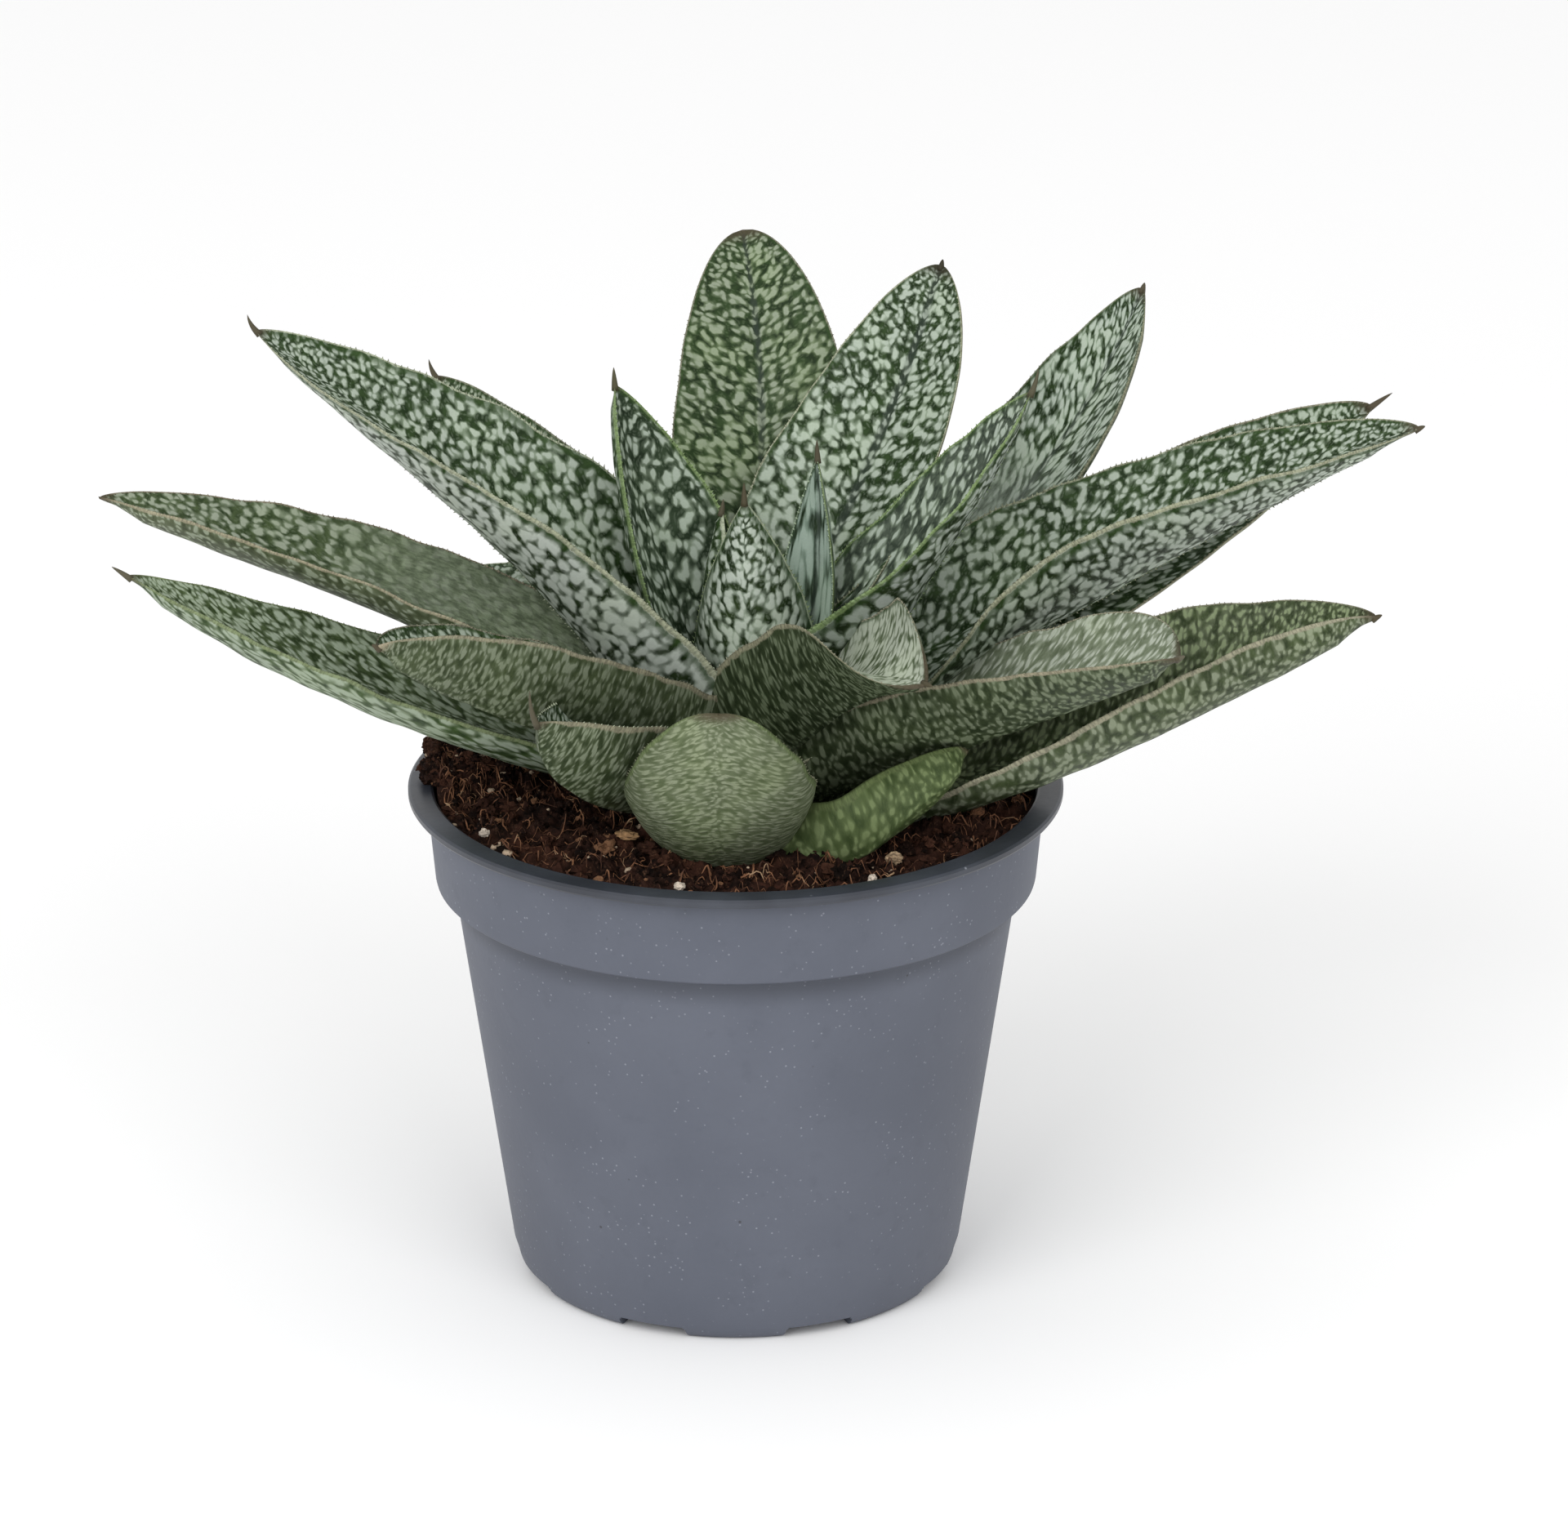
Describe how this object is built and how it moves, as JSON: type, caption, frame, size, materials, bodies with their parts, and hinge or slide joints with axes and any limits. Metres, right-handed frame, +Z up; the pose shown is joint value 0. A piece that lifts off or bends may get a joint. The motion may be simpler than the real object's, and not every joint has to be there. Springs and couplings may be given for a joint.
{
  "type": "potted gasteria",
  "caption": "Rosette succulent with thick, keeled, pale-spotted leaves, growing in peaty soil in a tapered nursery pot with a rolled rim and footed base.",
  "frame": {"origin": "on the pot's axis, on the plane of the pot's feet", "axes": "+Z up along the pot's axis; -Y towards the side that the picture shows; +X to its right"},
  "size_m": [0.21, 0.1275, 0.1609],
  "materials": {
    "pot_plastic": "slate blue-grey moulded plastic with fine specks",
    "peat_soil": null,
    "stem_skin": null,
    "young_leaf": null,
    "upper_leaf": null,
    "old_leaf": null,
    "shaded_leaf": null,
    "perlite": null,
    "bark": "rough wood chip"
  },
  "bodies": {
    "root": {"pot": "pot_plastic", "soil": "peat_soil", "stem_with_roots": "stem_skin", "leaf_heart_front": "young_leaf", "leaf_heart_right": "young_leaf", "leaf_heart_left": "young_leaf", "leaf_inner_right": "young_leaf", "leaf_inner_left": "young_leaf", "leaf_back_broad": "upper_leaf", "leaf_back_tall": "upper_leaf", "leaf_right_tall": "upper_leaf", "leaf_left_long": "upper_leaf", "leaf_right_long": "upper_leaf", "leaf_left_back": "upper_leaf", "leaf_right_back": "upper_leaf", "leaf_front_folded": "old_leaf", "leaf_front_left": "old_leaf", "leaf_front_right": "old_leaf", "leaf_left_middle": "old_leaf", "leaf_front_small": "old_leaf", "leaf_front_short": "old_leaf", "leaf_right_low": "old_leaf", "leaf_left_low": "old_leaf", "leaf_soil_curled": "shaded_leaf", "leaf_rear_right": "old_leaf", "leaf_rear_tall": "upper_leaf", "leaf_rear_low": "old_leaf", "leaf_rear_left": "old_leaf", "perlite_front": "perlite", "perlite_front_right": "perlite", "perlite_left": "perlite", "bark_front_left": "bark", "bark_front_right": "bark", "bark_right": "bark"}
  },
  "joints": []
}
